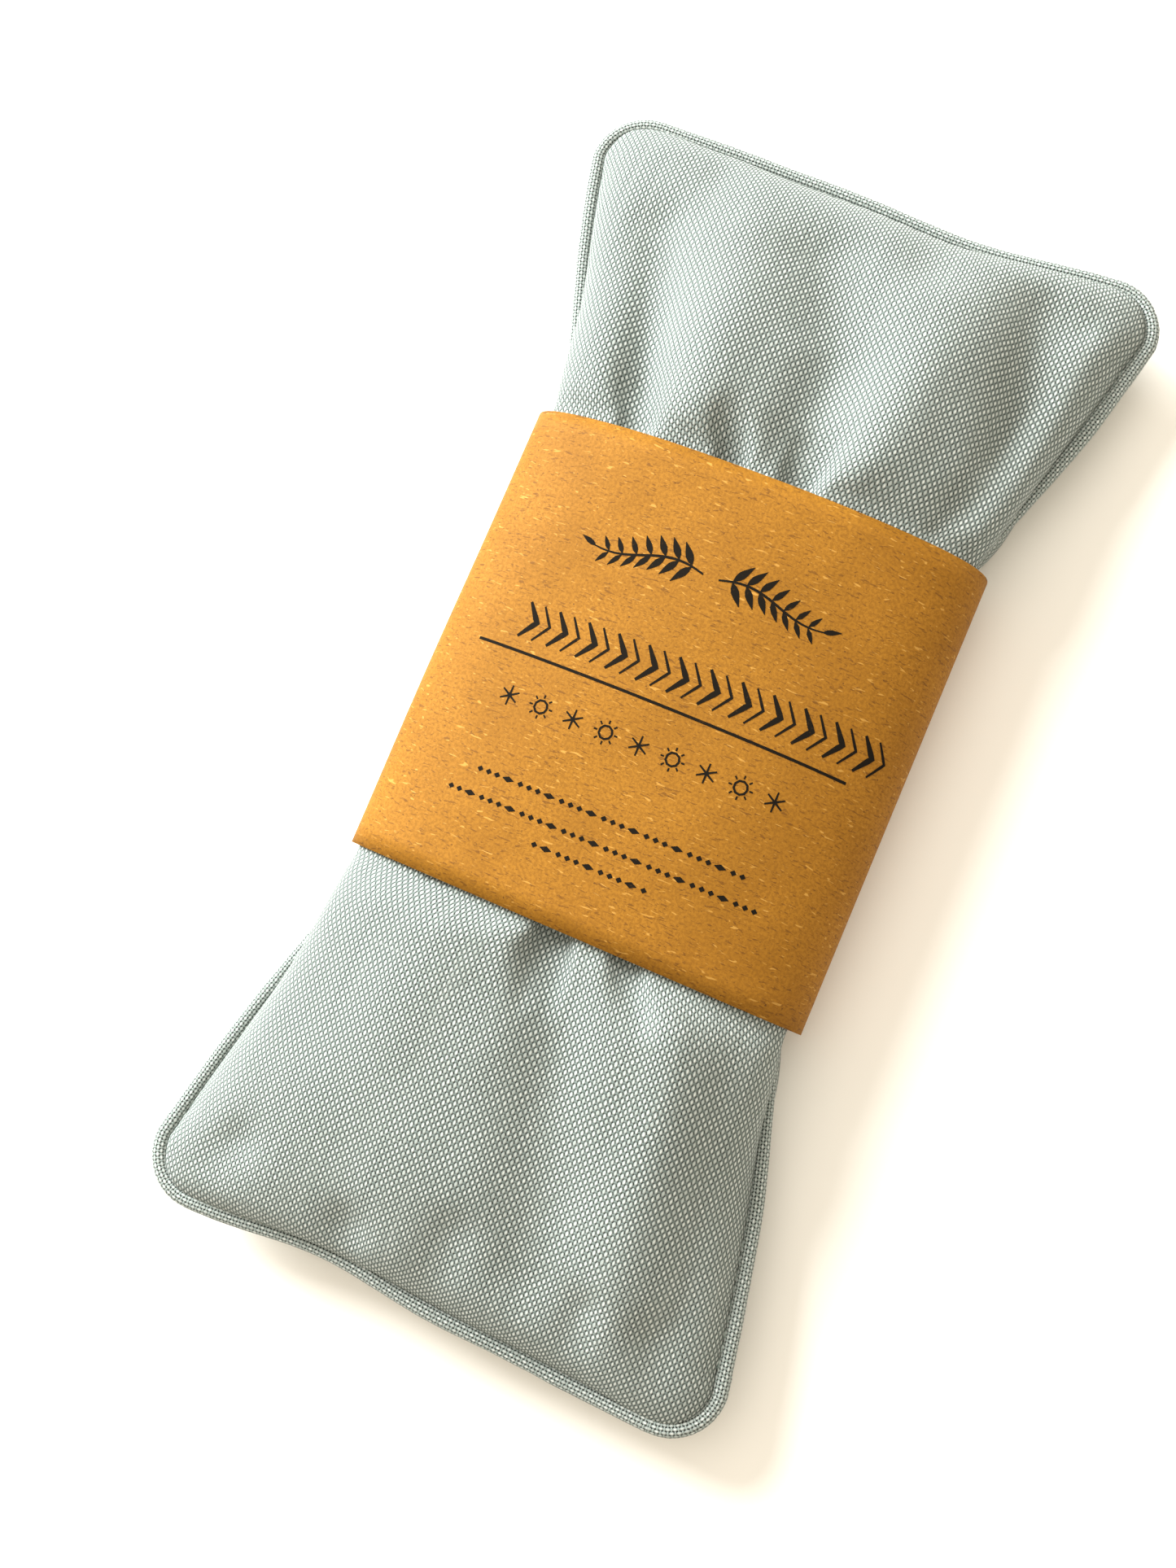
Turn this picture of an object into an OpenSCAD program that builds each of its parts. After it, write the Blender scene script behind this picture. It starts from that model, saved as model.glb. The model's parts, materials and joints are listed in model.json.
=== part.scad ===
// Filled linen eye pillow in a kraft paper belly band.
// X runs across the pillow, Y along it and Z up from the surface it lies on.

/* [Pillow] */
// Length over the end seams
pillow_len = 230; // [210:1:250]
// Width across the corners, seams included
pillow_w = 116; // [110:1:126]
// Width at the waist, where the band holds it
waist_w = 90; // [84:1:96]
// Thickness of the filled pillow
pillow_t = 27; // [24:1:30]
// Height of the side seam above the table
seam_z = 11.5; // [10:0.5:13]
// Plan radius of the corners
corner_r = 11; // [8:1:15]

/* [Cover] */
// Thickness of the linen
linen_t = 0.6; // [0.4:0.1:0.7]
// Diameter of the rolled seam allowance
roll_d = 2.6; // [2:0.1:3]
// Diameter of the sewing thread
thread_d = 0.4; // [0.3:0.05:0.5]
// Distance of the flap's hem from the middle
flap_hem_y = -66; // [-72:1:-62]
// Overlap of the two back panels
flap_overlap = 26; // [20:1:30]

/* [Pouch and fill] */
// Thickness of the muslin
muslin_t = 0.35; // [0.25:0.05:0.45]
// Number of lavender buds shown in the fill
bud_count = 30; // [10:2:40]
// Length of a lavender bud
bud_len = 5.5; // [4:0.5:7]
// Diameter of a lavender bud
bud_d = 2.2; // [1.6:0.1:2.6]

/* [Band] */
// Length of the band along the pillow
band_len = 90; // [80:1:96]
// Middle of the band along the pillow
band_y = 5; // [2:1:7]
// Thickness of the kraft card
card_t = 0.35; // [0.25:0.05:0.4]
// Overlap of the strip's ends under the pillow
band_lap = 20; // [14:1:26]
// Thickness of the glue in the overlap
glue_t = 0.1; // [0.05:0.05:0.15]
// Thickness of the printed ink
ink_t = 0.06; // [0.04:0.01:0.1]

/* [Hidden] */

linen_c = [0.66, 0.74, 0.71];
roll_c = [0.60, 0.69, 0.67];
thread_c = [0.80, 0.85, 0.82];
muslin_c = [0.93, 0.90, 0.83];
seed_c = [0.42, 0.25, 0.13];
lavender_c = [0.42, 0.40, 0.58];
kraft_c = [0.74, 0.54, 0.29];
ink_c = [0.08, 0.07, 0.06];

clear = 0.35;              // between the band and the pillow
sew_gap = 0.05;            // half the gap between two sewn edges
plump = 0.75;              // below 1 makes a fuller cross-section
settle = 3;                // how far the underside is pressed flat
end_t = 1.0;               // thickness left at the end seams

arc_n = 16;                // steps round half a cross-section
lobe_n = 11;               // steps along each end of the pillow
waist_n = 3;               // steps along the waist
roll_sides = 8;
corner_steps = 6;
side_turn = 180 / arc_n;

// Depths below the cover's outer face at which each layer starts.
lap_in = linen_t + thread_d + 0.1;
pouch_in = lap_in + linen_t + 0.9;
fill_in = pouch_in + muslin_t + 0.6;

waist_end = band_len / 2 + 2;
band_base = 2 * card_t + glue_t + clear;
top_h = pillow_t - seam_z;
half_waist = waist_w / 2;
half_full = pillow_w / 2;
corner_y = pillow_len / 2 - corner_r;
rim = roll_d + thread_d + 0.5;   // from the outer edge to the panels' edges
shell_end = pillow_len / 2 - rim;

function clamp01(v) = min(1, max(0, v));
function ease(v) = let (c = clamp01(v)) c * c * (3 - 2 * c);

// Distance past the waist at y, from 0 at the band to 1 at the corners.
function past_waist(y) =
    let (from = abs(y - band_y) - waist_end,
         room = corner_y - band_y * sign(y - band_y) - waist_end)
    clamp01(from / room);

// The side seams flare out almost straight from the waist to the corners.
function flare(y) = let (p = past_waist(y)) 0.8 * p + 0.2 * sin(90 * p);

// Half width at y of the outline that lies the given distance inside the edge.
function half_w(y, inset) =
    let (r = corner_r - inset,
         over = max(0, abs(y) - corner_y),
         cut = r - sqrt(max(0, r * r - over * over)))
    half_waist + (half_full - half_waist) * flare(y) - inset - cut;

// How much of the full thickness the pillow has at y.
function fullness(y) =
    let (s = clamp01(abs(y) / shell_end))
    max(end_t / pillow_t, pow(1 - pow(s, 6), 0.6));

// Lowest level of the cover at y: the band and its lap lie under the waist.
function base_z(y) = band_base * (1 - ease((abs(y - band_y) - waist_end) / 8));

// One cross-section point. depth is how far it lies below the outer face,
// turn runs from 0 at the right seam to 180 at the left one, side is 1 or -1.
function skin(y, depth, turn, side) =
    let (edge = half_w(y, rim),
         keep = 1 - depth / pillow_t * 2,
         rise = fullness(y) * keep * pow(max(0, sin(turn)), plump),
         up = side > 0 ? top_h * rise : -(seam_z + settle) * rise,
         low = min(base_z(y) + depth, seam_z - sew_gap))
    [(edge - depth) * cos(turn),
     y * (1 - depth / shell_end),
     max(low, seam_z + up + side * sew_gap)];

// Places along the pillow from low to high, closer together towards the two ends.
// The waist's own ends are always among them.
function towards(from, to, n) = [for (i = [0:n]) from + (to - from) * sin(90 * i / n)];
function backwards(v) = [for (i = [len(v) - 1:-1:0]) v[i]];
function stations(low, high) =
    let (a = band_y - waist_end, b = band_y + waist_end)
    concat(backwards(towards(a, low, lobe_n)),
        [for (i = [1:waist_n - 1]) a + (b - a) * i / waist_n],
        towards(b, high, lobe_n));

function flat_list(rows) = [for (r = rows) for (p = r) p];

// Faces of a tube whose rings of count points each follow one another.
function tube_faces(rings, count, closed) = concat(
    [for (r = [0:rings - (closed ? 1 : 2)], i = [0:count - 1])
        let (a = r * count, b = ((r + 1) % rings) * count, j = (i + 1) % count)
        each [[a + i, a + j, b + j], [a + i, b + j, b + i]]],
    closed ? [] : [for (i = [0:count / 2 - 2])
        let (a = i + 1, b = count - 2 - i, c = count - 1 - i, last = (rings - 1) * count)
        each [[c, b, a], [c, a, i], [last + i, last + a, last + b],
              [last + i, last + b, last + c]]]);

// Half of the pillow's skin between two depths, side 1 above the seam, -1 below.
module panel(side, outer, inner, ys) {
    turns = side > 0 ? [for (i = [0:arc_n]) i * side_turn]
                     : [for (i = [arc_n:-1:0]) i * side_turn];
    rings = [for (k = [0:len(ys) - 1]) concat(
        [for (t = turns) skin(ys[k], outer[k], t, side)],
        [for (i = [len(turns) - 1:-1:0]) skin(ys[k], inner[k], turns[i], side)])];
    polyhedron(flat_list(rings), tube_faces(len(rings), len(rings[0]), false));
}

function same(v, ys) = [for (y = ys) v];

module cover_front() {
    ys = stations(-shell_end, shell_end);
    color(linen_c) panel(1, same(0, ys), same(linen_t, ys), ys);
}

// The long back panel dips under the flap and ends inside the cover.
module cover_back_long() {
    ys = stations(flap_hem_y - flap_overlap, shell_end);
    tuck = [for (y = ys) lap_in * ease((flap_hem_y + 9 - y) / 8)];
    color(linen_c) panel(-1, tuck, [for (d = tuck) d + linen_t], ys);
}

module cover_back_flap() {
    ys = backwards(towards(flap_hem_y, -shell_end, lobe_n));
    color(linen_c) panel(-1, same(0, ys), same(linen_t, ys), ys);
}

// Outline of the seam, the given distance inside the outer edge.
function seam_path(inset) =
    let (ys = stations(-corner_y, corner_y),
         r = corner_r - inset,
         c = half_full - corner_r,
         right = [for (y = ys) [half_w(y, inset), y]],
         turns = [for (i = [1:corner_steps]) 90 * i / corner_steps],
         top = concat([for (a = turns) [c + r * cos(a), corner_y + r * sin(a)]],
                      [for (a = concat(0, turns)) [-c - r * sin(a), corner_y + r * cos(a)]]))
    concat(right, top,
        [for (i = [len(ys) - 2:-1:0]) [-right[i][0], right[i][1]]],
        [for (i = [0:len(top) - 2]) -top[i]]);

// A round cord laid along a closed plan outline at the seam's height.
module seam_cord(path, r, sides) {
    n = len(path);
    rings = [for (k = [0:n - 1])
        let (ahead = path[(k + 1) % n] - path[(k + n - 1) % n],
             out = [ahead[1], -ahead[0]] / norm(ahead))
        [for (s = [0:sides - 1]) let (a = 360 * (s + 0.5) / sides)
            [path[k][0] + out[0] * r * cos(a), path[k][1] + out[1] * r * cos(a),
             seam_z + r * sin(a)]]];
    polyhedron(flat_list(rings), tube_faces(n, sides, true));
}

module cover_seam_allowance() {
    color(roll_c) seam_cord(seam_path(roll_d / 2), roll_d / 2, roll_sides);
}

module cover_seam_thread() {
    color(thread_c) seam_cord(seam_path(roll_d + thread_d / 2 + 0.1), thread_d / 2, 4);
}

// A straight row of thread across the pillow.
module thread_row(width, y, z) {
    color(thread_c) translate([-width / 2, y, z]) cube([width, thread_d, thread_d / 2]);
}

row_w = 48;

module flap_hem_thread() {
    thread_row(row_w, flap_hem_y - 9, linen_t + 0.1);
}

module long_panel_hem_thread() {
    thread_row(row_w, flap_hem_y - flap_overlap + 9, lap_in + linen_t + 0.1);
}

module pouch_front() {
    ys = stations(-shell_end, shell_end);
    color(muslin_c) panel(1, same(pouch_in, ys), same(pouch_in + muslin_t, ys), ys);
}

module pouch_back() {
    ys = stations(-shell_end, shell_end);
    color(muslin_c) panel(-1, same(pouch_in, ys), same(pouch_in + muslin_t, ys), ys);
}

// Both pouch threads lie against the pouch's edge, inside the cover.

module pouch_seam_thread() {
    h = thread_d / 2;
    rings = [for (s = stations(-shell_end, shell_end)) if (abs(s) < corner_y - 8)
        let (edge = skin(s, pouch_in, 0, 1), x = edge[0] + 0.3, y = edge[1])
        [[x, y, seam_z - h], [x + h, y, seam_z - h], [x + h, y, seam_z + h], [x, y, seam_z + h]]];
    color(thread_c) for (m = [0, 1])
        mirror([m, 0, 0])
            polyhedron(flat_list(rings), tube_faces(len(rings), 4, false));
}

module pouch_closing_thread() {
    color(thread_c)
        translate([-row_w / 2, shell_end - pouch_in + 0.3, seam_z - thread_d / 4])
            cube([row_w, thread_d / 2, thread_d / 2]);
}

// Places of the buds in the fill: three staggered rows.
function bud_at(i) =
    let (row = i % 3, step = floor(i / 3), steps = ceil(bud_count / 3))
    [(row - 1) * 22 + 5 * sin(step * 130),
     -84 + 168 * (step + row / 3) / steps,
     seam_z + 3 * sin(step * 97 + row * 60)];

module bud_shapes(extra) {
    for (i = [0:bud_count - 1])
        translate(bud_at(i)) rotate([0, 90, 57 * i])
            cylinder(h = bud_len + extra, d = bud_d + extra, center = true, $fn = 16);
}

module flaxseed_fill() {
    ys = stations(-shell_end, shell_end);
    rings = [for (y = ys) concat(
        [for (i = [0:arc_n]) skin(y, fill_in, i * side_turn, 1)],
        [for (i = [arc_n:-1:0]) skin(y, fill_in, i * side_turn, -1)])];
    color(seed_c) difference() {
        polyhedron(flat_list(rings), tube_faces(len(rings), len(rings[0]), false));
        bud_shapes(0.4);
    }
}

module lavender_buds() {
    color(lavender_c) bud_shapes(0);
}

// Cross-section of the band, grown outwards by grow, from turn t0 to t1.
// Turn 0 is the right side, 90 the top and 270 the underside.
inner_w = half_waist + clear;
inner_top = top_h + clear;
round_from = 208;          // turn at which the strip leaves the underside

function band_point(t, grow) =
    let (s = sin(t),
         rise = pow(abs(s), plump),
         x = (inner_w + grow) * cos(t),
         z = s > 0 ? seam_z + (inner_top + grow) * rise
                   : seam_z - (seam_z + settle + grow) * rise)
    [x, max(card_t - grow, z)];

// Turn at which the section reaches x on the underside.
function under_turn(x) = 270 + asin(x / inner_w);

band_step = 6;
lap_lift = card_t + glue_t;
lap_from = under_turn(-band_lap / 2);
lap_to = under_turn(band_lap / 2);

// The strip starts under the pillow, goes once round and laps under its start.
function lift_at(t) = lap_lift * ease((t - under_turn(-band_lap)) / 12);

module belly_band() {
    under_n = 18;
    back_n = 6;
    down_to = -30;
    under = [for (i = [0:under_n - 1]) lap_to + (round_from - lap_to) * i / under_n];
    round = [for (t = [round_from:-band_step:down_to]) t];
    back = [for (i = [1:back_n]) down_to + (lap_from - 360 - down_to) * i / back_n];
    path = concat(under, round, back);
    lifts = [for (i = [0:len(path) - 1]) i < len(under) ? lift_at(path[i]) : 0];
    outer = [for (i = [0:len(path) - 1]) band_point(path[i], card_t) + [0, lifts[i]]];
    inner = [for (i = [len(path) - 1:-1:0]) band_point(path[i], 0) + [0, lifts[i]]];
    color(kraft_c) translate([0, band_y + band_len / 2, 0]) rotate([90, 0, 0])
        linear_extrude(band_len) polygon(concat(outer, inner));
}

module band_glue() {
    glue_w = 12;
    color([0.86, 0.84, 0.76])
        translate([-glue_w / 2, band_y - band_len / 2 + 5, card_t])
            cube([glue_w, band_len - 10, glue_t]);
}

// A thin skin of ink lying on the top of the band, which art() cuts to shape.
module inked() {
    turns = [for (i = [11:28]) round_from - band_step * i];
    skin_out = [for (t = turns) band_point(t, card_t + ink_t)];
    skin_in = [for (t = backwards(turns)) band_point(t, card_t)];
    intersection() {
        translate([0, band_y + band_len / 2, 0]) rotate([90, 0, 0])
            linear_extrude(band_len) polygon(concat(skin_out, skin_in));
        translate([0, 0, seam_z]) linear_extrude(top_h + 5) children();
    }
}

module leaf(len, width) {
    r = (len * len / 4 + width * width / 4) / width;
    intersection() {
        translate([len / 2, r - width / 2]) circle(r, $fn = 96);
        translate([len / 2, width / 2 - r]) circle(r, $fn = 96);
    }
}

module band_print() {
    color(ink_c) inked() {
        translate([-33, band_y + 7]) square([66, 0.7]);
        for (x = [-24:12:24])
            translate([x, band_y + 18]) rotate(45) square(3.5, center = true);
        for (s = [-1, 1])
            translate([s * 1.2, band_y + 29]) rotate(90 - 50 * s) leaf(9, 3.4);
        for (x = [-20:10:20])
            translate([x, band_y - 4]) circle(d = 3, $fn = 24);
        for (k = [0:2])
            translate([-26 + 4 * k, band_y - 20 - 5 * k]) square([52 - 8 * k, 0.8]);
    }
}

cover_front();
cover_back_long();
cover_back_flap();
cover_seam_allowance();
cover_seam_thread();
flap_hem_thread();
long_panel_hem_thread();
pouch_front();
pouch_back();
pouch_seam_thread();
pouch_closing_thread();
flaxseed_fill();
lavender_buds();
belly_band();
band_glue();
band_print();
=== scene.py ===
"""Linen eye pillow in a kraft paper belly band.

A sage linen cover, sewn from one front panel and two lapped back panels, holds a muslin
pouch of flaxseed and lavender. A strip of kraft paper with a simple printed ornament is
glued round its waist and slides off either end.

Plan: x across, y along, z up, worked in millimetres in numpy and turned into metres
where a mesh is made. The pillow lies on its lapped back.
"""

import json
import math

import bpy
import numpy as np
from mathutils import Euler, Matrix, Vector

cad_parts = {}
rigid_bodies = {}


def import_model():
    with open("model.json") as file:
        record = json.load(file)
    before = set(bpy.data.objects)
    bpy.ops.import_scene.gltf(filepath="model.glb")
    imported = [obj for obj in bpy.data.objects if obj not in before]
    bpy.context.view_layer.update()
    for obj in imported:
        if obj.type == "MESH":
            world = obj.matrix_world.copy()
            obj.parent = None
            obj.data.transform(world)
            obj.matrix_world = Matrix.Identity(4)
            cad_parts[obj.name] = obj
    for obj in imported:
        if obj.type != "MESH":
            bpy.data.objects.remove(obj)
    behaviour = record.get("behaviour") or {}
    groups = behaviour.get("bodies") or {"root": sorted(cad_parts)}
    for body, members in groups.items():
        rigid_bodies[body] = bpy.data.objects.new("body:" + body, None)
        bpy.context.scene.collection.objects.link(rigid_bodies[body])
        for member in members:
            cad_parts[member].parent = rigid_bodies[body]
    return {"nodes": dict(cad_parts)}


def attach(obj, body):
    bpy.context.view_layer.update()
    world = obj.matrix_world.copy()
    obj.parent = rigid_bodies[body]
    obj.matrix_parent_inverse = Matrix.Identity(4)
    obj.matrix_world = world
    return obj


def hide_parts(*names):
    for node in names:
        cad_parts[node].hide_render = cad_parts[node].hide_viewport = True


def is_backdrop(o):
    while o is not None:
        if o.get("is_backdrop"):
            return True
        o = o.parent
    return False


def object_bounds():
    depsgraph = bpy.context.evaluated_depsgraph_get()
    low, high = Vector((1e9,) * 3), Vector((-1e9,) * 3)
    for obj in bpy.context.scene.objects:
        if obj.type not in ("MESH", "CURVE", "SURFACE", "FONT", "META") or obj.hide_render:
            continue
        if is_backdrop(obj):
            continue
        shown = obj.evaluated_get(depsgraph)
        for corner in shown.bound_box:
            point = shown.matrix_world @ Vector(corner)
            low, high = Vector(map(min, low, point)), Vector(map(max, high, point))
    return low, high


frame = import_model()
cad_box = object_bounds()

# ---------------------------------------------------------------- sizes, mm
LENGTH = 230.0
CORNER_HALF = 58.0  # half width at the corners, over the seam roll
WAIST_HALF = 44.6  # half width squeezed by the band
CORNER_R = 11.0
SEAM_Z = 11.5
CROWN = 15.3  # cover's top above the seam
BAND_Y, BAND_HALF = 5.0, 45.0
BAND_GAP = 1.15  # what the cover's back is lifted by the paper under it
LINEN_T = 0.5
WARP_PITCH, WEFT_PITCH = 0.61, 0.745  # thread spacing of the linen
PANEL_IN = 2.65  # the panels' edge inside the outline
ROLL_IN, ROLL_R = 1.45, 1.42
PANEL_TUCK, ROLL_TUCK = 1.2, 1.7  # how much further in the band presses them
FLAP_HEM_Y, LONG_HEM_Y = -66.0, -92.0
LAP_LIFT = 1.1
END_BOW, FOOT_BOW = 2.3, 2.9  # how far the ends draw in at their middle
CARD_T = 0.35
ACROSS, ALONG, CORNER_ROWS = 65, 117, 8


# ---------------------------------------------------------------- shader words
class Value:
    """A material socket with arithmetic."""

    def __init__(self, graph, socket):
        self.graph, self.socket = graph, socket

    def _maths(self, operation, *values):
        return self.graph.node("ShaderNodeMath", dict(enumerate(values)), operation=operation)

    def __add__(self, other):
        return self._maths("ADD", self, other)

    def __radd__(self, other):
        return self._maths("ADD", other, self)

    def __sub__(self, other):
        return self._maths("SUBTRACT", self, other)

    def __rsub__(self, other):
        return self._maths("SUBTRACT", other, self)

    def __mul__(self, other):
        return self._maths("MULTIPLY", self, other)

    def __rmul__(self, other):
        return self._maths("MULTIPLY", other, self)

    def __truediv__(self, other):
        return self._maths("DIVIDE", self, other)

    def floor(self):
        return self._maths("FLOOR", self)

    def cos(self):
        return self._maths("COSINE", self)

    def max(self, other):
        return self._maths("MAXIMUM", self, other)

    def power(self, other):
        return self._maths("POWER", self, other)

    def ramp(self, low, high):
        """0 at low, 1 at high, smooth between."""
        return self.graph.node(
            "ShaderNodeMapRange",
            {"Value": self, "From Min": low, "From Max": high},
            interpolation_type="SMOOTHSTEP",
        )


class Finish:
    """A material under construction."""

    def __init__(self, name, roughness=0.8, **constants):
        self.material = bpy.data.materials.new(name)
        self.material.use_nodes = True
        self.tree = self.material.node_tree
        self.tree.nodes.clear()
        self.shader = self.tree.nodes.new("ShaderNodeBsdfPrincipled")
        out = self.tree.nodes.new("ShaderNodeOutputMaterial")
        self.tree.links.new(self.shader.outputs[0], out.inputs[0])
        self.shader.inputs["Roughness"].default_value = roughness
        for socket, value in constants.items():
            self.shader.inputs[socket.replace("_", " ")].default_value = value

    def feed(self, socket, value):
        if isinstance(value, Value):
            self.tree.links.new(value.socket, socket)
        else:
            socket.default_value = value

    def node(self, kind, inputs=(), output=0, **settings):
        made = self.tree.nodes.new(kind)
        for name, value in settings.items():
            setattr(made, name, value)
        for name, value in dict(inputs).items():
            self.feed(made.inputs[name], value)
        return Value(self, made.outputs[output])

    def place(self, uv=None):
        """Object coordinates, or the piece's own UV map, in metres."""
        if uv:
            return self.node("ShaderNodeUVMap", uv_map=uv)
        return self.node("ShaderNodeTexCoord", output="Object")

    def parts(self, vector):
        split = self.tree.nodes.new("ShaderNodeSeparateXYZ")
        self.feed(split.inputs[0], vector)
        return [Value(self, o) for o in split.outputs]

    def turned(self, vector, turn=(0, 0, 0), scale=(1, 1, 1), shift=(0, 0, 0)):
        return self.node(
            "ShaderNodeMapping", {"Vector": vector, "Location": shift, "Rotation": turn, "Scale": scale}
        )

    def noise(self, vector, scale, detail=2.0, roughness=0.5, distortion=0.0):
        return self.node(
            "ShaderNodeTexNoise",
            {"Vector": vector, "Scale": scale, "Detail": detail, "Roughness": roughness, "Distortion": distortion},
        )

    def mix(self, factor, low, high):
        socket = lambda c: c if isinstance(c, Value) else (*c, 1)
        return self.node(
            "ShaderNodeMix", {0: factor, 6: socket(low), 7: socket(high)}, output=2, data_type="RGBA"
        )

    def colour(self, value):
        self.feed(self.shader.inputs["Base Color"], value)

    def rough(self, value):
        self.feed(self.shader.inputs["Roughness"], value)

    def bump(self, height, distance, strength=1.0):
        """height in 0..1, distance in metres."""
        normal = self.node("ShaderNodeBump", {"Height": height, "Distance": distance, "Strength": strength})
        self.feed(self.shader.inputs["Normal"], normal)


def plain_weave(finish, uv, warp_pitch, weft_pitch, slub=1.0):
    """Threads over and under each other. Gives the height, a mask of the warp on top, a mask of the lit crest of each
    warp float where a painted highlight goes, a tone for each crossing, and a slow one for each way."""
    x, y, _ = finish.parts(uv)
    wander = finish.noise(finish.turned(uv, scale=(220, 60, 1)), 1.0, 1.0) - 0.5
    sway = finish.noise(finish.turned(uv, scale=(60, 240, 1), shift=(7, 3, 0)), 1.0, 1.0) - 0.5
    a = x / warp_pitch + 0.85 * slub * wander
    b = y / weft_pitch + 0.9 * slub * sway
    column, row = a.floor(), b.floor()
    off_a, off_b = a - column - 0.5, b - row - 0.5
    thick_warp = finish.noise(finish.turned(uv, scale=(1 / warp_pitch, 26, 1)), 1.0, 2.0)
    thick_weft = finish.noise(finish.turned(uv, scale=(22, 1 / weft_pitch, 1), shift=(3, 9, 0)), 1.0, 2.0)
    round_a = 1 - (off_a / (0.34 + 0.24 * slub * thick_warp)).power(2)
    round_b = 1 - (off_b / (0.22 + 0.22 * slub * thick_weft)).power(2)
    warp_up = ((b - 0.5 - column) * math.pi).cos()
    weft_up = 0 - ((a - 0.5 - row) * math.pi).cos()
    warp = 0.34 * warp_up + 0.12 + 0.5 * round_a.max(-1)
    weft = 0.36 * weft_up + 0.5 * round_b.max(-1)
    height = warp.max(weft)
    warp_on_top = (warp - weft).ramp(-0.06, 0.06)
    cell = finish.node("ShaderNodeCombineXYZ", {0: column, 1: row})
    each = finish.node("ShaderNodeTexWhiteNoise", {"Vector": cell}, output=0, noise_dimensions="2D")
    # painted highlight mask: a narrow strip along the top of each warp float where it rises
    painted_highlight_mask = (1 - (off_a / 0.26).power(2)).max(0) * warp_up.ramp(0.0, 0.9)
    return height.ramp(-0.35, 0.86), warp_on_top, painted_highlight_mask, each, thick_warp, thick_weft


def linen(
    name, low, warp_colour, weft_colour, painted_highlight_colour, painted_gap_shade, slub=1.0, pitch=(WARP_PITCH, WEFT_PITCH)
):
    """Woven linen. pitch is the thread spacing each way, in mm."""
    finish = Finish(name, roughness=0.88, Sheen_Weight=0.08, Sheen_Roughness=0.5, Specular_IOR_Level=0.15)
    uv = finish.place("cloth")
    height, warp_on_top, painted_highlight_mask, each, thick_warp, thick_weft = plain_weave(
        finish, uv, pitch[0] / 1000, pitch[1] / 1000, slub
    )
    thread = finish.mix(warp_on_top, weft_colour, warp_colour)
    tone = finish.noise(uv, 38, 3.0) * 0.5 + thick_warp * 0.3 + thick_weft * 0.3
    thread = finish.mix(tone.ramp(0.36, 0.72), thread, finish.mix(warp_on_top, low, warp_colour))
    slubs = thick_warp.max(thick_weft).ramp(0.66, 0.80)
    thread = finish.mix(slubs * 0.45, thread, (0.42, 0.45, 0.43))
    # painted highlight: the lit crest of each warp float is mixed towards near-white
    thread = finish.mix(painted_highlight_mask * (0.25 + 0.75 * each), thread, painted_highlight_colour)
    # painted shade: the low places between the threads are mixed towards a near-black colour
    shade = height.ramp(0.36, 0.84)
    finish.colour(finish.mix(shade, painted_gap_shade, thread))
    finish.bump(height, 0.00026, 0.9)
    return finish.material


def muslin_finish():
    finish = Finish("muslin_cloth", roughness=0.9, Sheen_Weight=0.2, Specular_IOR_Level=0.2)
    uv = finish.place("cloth")
    height, warp_on_top, _, _, _, _ = plain_weave(finish, uv, 0.00052, 0.00056, 0.7)
    thread = finish.mix(warp_on_top, (0.70, 0.64, 0.52), (0.78, 0.73, 0.62))
    speck = finish.noise(uv, 900, 1.0).ramp(0.70, 0.76)
    thread = finish.mix(speck, thread, (0.35, 0.26, 0.15))
    # painted shade: the low places between the threads are darkened
    finish.colour(finish.mix(height.ramp(0.1, 0.6), (0.36, 0.30, 0.21), thread))
    finish.bump(height, 0.00015, 0.8)
    return finish.material


def kraft_finish():
    finish = Finish("kraft_paper", roughness=0.72, Specular_IOR_Level=0.16)
    at = finish.place("flat")
    cloud = finish.noise(at, 55, 3.0, 0.6)
    grain = finish.noise(at, 1700, 2.0, 0.7)
    pale = finish.mix(cloud.ramp(0.3, 0.7), (0.280, 0.118, 0.009), (0.335, 0.145, 0.013))
    pale = finish.mix(grain.ramp(0.38, 0.62) * 0.6, pale, (0.195, 0.078, 0.006))
    fibres = None
    for turn, shift in ((0.3, 0), (1.4, 5), (2.5, 11)):
        along = finish.turned(at, turn=(0, 0, turn), scale=(520, 2300, 1), shift=(shift, 2 * shift, 0))
        fibre = finish.noise(along, 1.0, 1.0, 0.5, 0.6).ramp(0.655, 0.72)
        fibres = fibre if fibres is None else fibres.max(fibre)
    fleck = finish.noise(finish.turned(at, scale=(1500, 1500, 1), shift=(4, 1, 0)), 1.0, 1.0).ramp(0.73, 0.77)
    brown = finish.mix(fibres * 0.6, pale, (0.105, 0.038, 0.006))
    brown = finish.mix(fleck * 0.7, brown, (0.055, 0.020, 0.006))
    light = finish.noise(finish.turned(at, turn=(0, 0, 0.9), scale=(420, 1900, 1), shift=(9, 4, 0)), 1.0, 1.0, 0.5, 0.6)
    brown = finish.mix(light.ramp(0.66, 0.74) * 0.6, brown, (0.56, 0.30, 0.065))
    finish.colour(brown)
    finish.rough(0.62 + 0.16 * grain)
    finish.bump(0.5 * grain + 0.5 * fibres, 0.00005, 0.6)
    return finish.material


def ink_finish():
    finish = Finish("printed_ink", roughness=0.8, Specular_IOR_Level=0.04)
    at = finish.place()
    worn = finish.noise(at, 1400, 2.0).ramp(0.62, 0.80)
    finish.colour(finish.mix(worn * 0.5, (0.010, 0.008, 0.006), (0.070, 0.034, 0.010)))
    finish.rough(0.78 + 0.15 * worn)
    return finish.material


def thread_finish(name, colour, dark):
    finish = Finish(name, roughness=0.55, Sheen_Weight=0.3)
    at = finish.place()
    twist = finish.noise(finish.turned(at, turn=(0, 0, 0.6), scale=(5200, 1500, 3000)), 1.0, 1.0)
    finish.colour(finish.mix(twist.ramp(0.35, 0.65), dark, colour))
    finish.bump(twist, 0.00008, 0.7)
    return finish.material


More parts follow.
